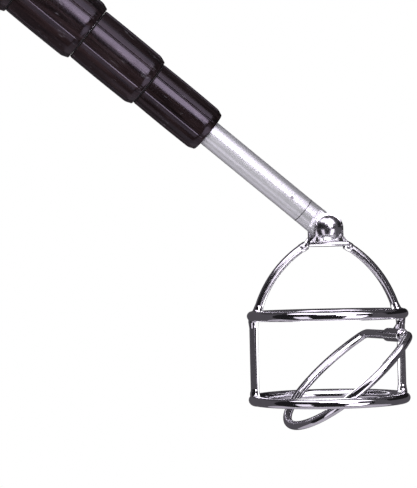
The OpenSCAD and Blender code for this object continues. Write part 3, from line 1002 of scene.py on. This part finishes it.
class RETRIEVER_OT_hinge(bpy.types.Operator):
    """Finish the hinge barrel and its strut in darkened chrome that paints shade on them, and add the
    barrel's lips and the strut's welds
    """

    bl_idname = "retriever.hinge"
    bl_label = "Hinge"

    def execute(self, context):
        finishes, welds, _ = settings()
        # Darker copies of the chrome paint the shade on the hinge, its lips and the strut's welds
        chrome = chrome_finish("hinge chrome painted darker", shade_of(finishes.chrome, 0.8), rough=0.09)
        bead = chrome_finish("strut weld chrome painted dark", shade_of(finishes.chrome, 0.45), rough=0.14, ripple=2.0)
        finish_nodes(HINGE_NODES, chrome)
        barrel = frame["nodes"]["hinge_barrel"].data
        places = [(point.co - HINGE).dot(HINGE_LINE) for point in barrel.vertices]
        for name, place in (("front", min(places)), ("back", max(places))):
            lip = barrel_lip(f"{name}_barrel_lip", HINGE + HINGE_LINE * place)
            lip.data.materials.append(chrome)
            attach(lip, "head")
        weld = weld_metal("strut_welds", [strut_joint(welds)])
        weld.data.materials.append(bead)
        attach(weld, "head")
        return {"FINISHED"}


class RETRIEVER_OT_gate(bpy.types.Operator):
    """Finish the gate"""

    bl_idname = "retriever.gate"
    bl_label = "Gate"

    def execute(self, context):
        finishes = settings()[0]
        chrome = chrome_finish("gate chrome", tuple(finishes.chrome), finishes.chrome_rough)
        finish_nodes(["gate_ring"], chrome)
        return {"FINISHED"}


# Studio

def from_front(turn, rise):
    """The way that points so far round from the front, and so far up."""
    return Vector((math.sin(turn) * math.cos(rise), -math.cos(turn) * math.cos(rise), math.sin(rise)))


def camera_axes(studio):
    """Right, up and back of the camera, in the row frame."""
    back = from_front(studio.azimuth, studio.elevation)
    right = Vector((math.cos(studio.azimuth), math.sin(studio.azimuth), 0.0))
    up = back.cross(right)
    tilt_right = right * math.cos(studio.roll) + up * math.sin(studio.roll)
    tilt_up = up * math.cos(studio.roll) - right * math.sin(studio.roll)
    return tilt_right, tilt_up, back


def place_camera(studio):
    """The camera at the photograph's angle."""
    right, up, back = camera_axes(studio)
    across = (studio.pin_u - PICTURE[0] / 2) * studio.distance / studio.focal_px
    down = (studio.pin_v - PICTURE[1] / 2) * studio.distance / studio.focal_px
    place = PIVOT + back * studio.distance - right * across + up * down
    data = bpy.data.cameras.new("camera")
    data.sensor_width = SENSOR_MM
    data.lens = studio.focal_px * SENSOR_MM / PICTURE[1]
    data.clip_start, data.clip_end = CLIP
    camera = link_object("camera", data)
    axes = Matrix((right, up, back)).transposed()
    camera.matrix_world = Matrix.Translation(place) @ axes.to_4x4()
    bpy.context.scene.camera = camera


def seen_ray(tree):
    """1 for rays from the camera, and for those mirrored or let through by a surface."""
    path = add_node(tree, "ShaderNodeLightPath")
    first = add_node(tree, "ShaderNodeMath", operation="MAXIMUM")
    second = add_node(tree, "ShaderNodeMath", operation="MAXIMUM")
    feed(first, 0, path.outputs["Is Camera Ray"])
    feed(first, 1, path.outputs["Is Glossy Ray"])
    feed(second, 0, first.outputs["Value"])
    feed(second, 1, path.outputs["Is Transmission Ray"])
    return second.outputs["Value"]


def white_world():
    """A world that is white where it is seen, and gives a plain soft light."""
    world = bpy.data.worlds.new("studio")
    world.use_nodes = True
    tree = world.node_tree
    light = tree.nodes["Background"]
    light.inputs["Color"].default_value = WHITE
    light.inputs["Strength"].default_value = AMBIENT
    white = add_node(tree, "ShaderNodeBackground", {"Color": WHITE, "Strength": 1.0})
    mix = add_node(tree, "ShaderNodeMixShader")
    feed(mix, "Fac", seen_ray(tree))
    feed(mix, 1, light.outputs["Background"])
    feed(mix, 2, white.outputs["Background"])
    feed(tree.nodes["World Output"], "Surface", mix.outputs["Shader"])
    bpy.context.scene.world = world


def floor_finish():
    """A pale floor that is white where it is lit, and keeps a soft shadow."""
    material, tree, surface = new_material("floor")
    surface.inputs["Base Color"].default_value = FLOOR_GREY
    surface.inputs["Roughness"].default_value = 0.9
    surface.inputs["Specular IOR Level"].default_value = 0.0
    glow = add_node(tree, "ShaderNodeEmission", {"Color": WHITE})
    lift = add_node(tree, "ShaderNodeMath", {1: FLOOR_GLOW}, operation="MULTIPLY")
    both = add_node(tree, "ShaderNodeAddShader")
    feed(lift, 0, seen_ray(tree))
    feed(glow, "Strength", lift.outputs["Value"])
    feed(both, 0, surface.outputs["BSDF"])
    feed(both, 1, glow.outputs["Emission"])
    feed(tree.nodes["Material Output"], "Surface", both.outputs["Shader"])
    return material


def open_sheet(name, points, faces, material):
    """An open sheet with its material."""
    mesh = bpy.data.meshes.new(name)
    mesh.from_pydata([tuple(point) for point in points], [], faces)
    mesh.materials.append(material)
    return link_object(name, mesh)


def add_floor(height):
    """A wide floor at that height."""
    signs = ((-1, -1), (1, -1), (1, 1), (-1, 1))
    corners = [(x * FLOOR_HALF, y * FLOOR_HALF, height) for x, y in signs]
    floor = open_sheet("floor", corners, [(0, 1, 2, 3)], floor_finish())


def card_finish(colour):
    """A plain glow for a card."""
    material, tree, surface = new_material("studio card")
    glow = add_node(tree, "ShaderNodeEmission", {"Color": (*colour, 1.0), "Strength": 1.0})
    feed(tree.nodes["Material Output"], "Surface", glow.outputs["Emission"])
    tree.nodes.remove(surface)
    return material


def add_card(name, centre, reach, turns, rises, material):
    """A curved card that only mirrors show, between two turns and two rises in degrees."""
    points, faces = [], []
    row = CARD_STEPS + 1
    for i in range(row):
        turn = math.radians(turns[0] + (turns[1] - turns[0]) * i / CARD_STEPS)
        for j in range(row):
            rise = math.radians(rises[0] + (rises[1] - rises[0]) * j / CARD_STEPS)
            points.append(centre + from_front(turn, rise) * reach)
    for i in range(CARD_STEPS):
        for j in range(CARD_STEPS):
            corner = i * row + j
            faces.append((corner, corner + 1, corner + row + 1, corner + row))
    card = open_sheet(name, points, faces, material)
    card.visible_camera = False
    card.visible_diffuse = False
    card.visible_shadow = False
    card.visible_transmission = False
    card.visible_volume_scatter = False


def add_cards(middle, azimuth):
    """The cards round the cage, and the far copies of the dark ones."""
    front = math.degrees(azimuth)
    for name, reach, turns, rises, brightness in CARDS:
        tint = card_finish(tuple(part * brightness for part in CARD_TINT))
        spread = (turns[0] + front, turns[1] + front)
        add_card(name, middle, reach, spread, rises, tint)
        if brightness < FLAG_BRIGHTNESS:
            add_card(f"far_{name}", middle + POLE * PULL, reach * FAR_SCALE, spread, rises, tint)


def add_lamps(middle, azimuth):
    """Soft rectangular lamps that look at the cage, and that mirrors don't show."""
    for name, turn, rise, reach, size, power in LAMPS:
        way = from_front(math.radians(turn) + azimuth, math.radians(rise))
        data = bpy.data.lights.new(name, "AREA")
        data.shape = "RECTANGLE"
        data.size, data.size_y = size
        data.energy = power
        lamp = link_object(name, data)
        lamp.location = middle + way * reach
        lamp.rotation_euler = (-way).to_track_quat("-Z", "Y").to_euler()
        lamp.visible_glossy = False


def add_inner_lamp(middle):
    """A small lamp inside the cage that only mirrors show, except on the nodes it passes by."""
    data = bpy.data.lights.new("inner_lamp", "POINT")
    data.shadow_soft_size = INNER_LAMP_R
    data.energy = INNER_LAMP_POWER
    lamp = link_object("inner_lamp", data)
    lamp.location = middle
    lamp.visible_camera = False
    lamp.visible_diffuse = False
    lamp.visible_transmission = False
    unlit = bpy.data.collections.new("not lit from inside")
    for node in INNER_LAMP_PASSES:
        unlit.objects.link(frame["nodes"][node])
    for item in unlit.collection_objects:
        item.light_linking.link_state = "EXCLUDE"
    lamp.light_linking.receiver_collection = unlit


class RETRIEVER_OT_studio(bpy.types.Operator):
    """Set up the floor, the light and the camera"""

    bl_idname = "retriever.studio"
    bl_label = "Studio"

    def execute(self, context):
        studio = settings()[2]
        middle = from_pivot(*CAGE_MIDDLE_MM)
        context.scene.view_settings.view_transform = "Standard"
        place_camera(studio)
        white_world()
        add_floor(studio.floor_z)
        add_cards(middle, studio.azimuth)
        add_lamps(middle, studio.azimuth)
        add_inner_lamp(middle)
        return {"FINISHED"}


OPERATORS = (
    RETRIEVER_OT_studio,
    RETRIEVER_OT_grip,
    RETRIEVER_OT_tubes,
    RETRIEVER_OT_collars,
    RETRIEVER_OT_inner_rings,
    RETRIEVER_OT_plug,
    RETRIEVER_OT_swivel,
    RETRIEVER_OT_cage,
    RETRIEVER_OT_hinge,
    RETRIEVER_OT_gate,
)


class RETRIEVER_PT_sidebar(bpy.types.Panel):
    """Settings and steps of the retriever"""

    bl_idname = "RETRIEVER_PT_sidebar"
    bl_label = "Retriever"
    bl_space_type = "VIEW_3D"
    bl_region_type = "UI"
    bl_category = "Retriever"

    def draw(self, context):
        column = self.layout.column()
        for group in settings():
            for name in group.bl_rna.properties.keys():
                if name not in ("rna_type", "name"):
                    column.prop(group, name)
        for operator in OPERATORS:
            column.operator(operator.bl_idname)


CLASSES = (RetrieverFinishes, RetrieverWelds, RetrieverStudio, *OPERATORS, RETRIEVER_PT_sidebar)


def register():
    """Registers the classes and the scene's settings."""
    for item in CLASSES:
        bpy.utils.register_class(item)
    bpy.types.Scene.retriever_finishes = bpy.props.PointerProperty(type=RetrieverFinishes)
    bpy.types.Scene.retriever_welds = bpy.props.PointerProperty(type=RetrieverWelds)
    bpy.types.Scene.retriever_studio = bpy.props.PointerProperty(type=RetrieverStudio)


def unregister():
    """Takes the scene's settings and the classes away again."""
    del bpy.types.Scene.retriever_studio
    del bpy.types.Scene.retriever_welds
    del bpy.types.Scene.retriever_finishes
    for item in reversed(CLASSES):
        bpy.utils.unregister_class(item)


def main():
    """Runs every step in order."""
    register()
    bpy.ops.retriever.studio()
    bpy.ops.retriever.grip()
    bpy.ops.retriever.tubes()
    bpy.ops.retriever.collars()
    bpy.ops.retriever.inner_rings()
    bpy.ops.retriever.plug()
    bpy.ops.retriever.swivel()
    bpy.ops.retriever.cage()
    bpy.ops.retriever.hinge()
    bpy.ops.retriever.gate()


if __name__ == "__main__":
    main()
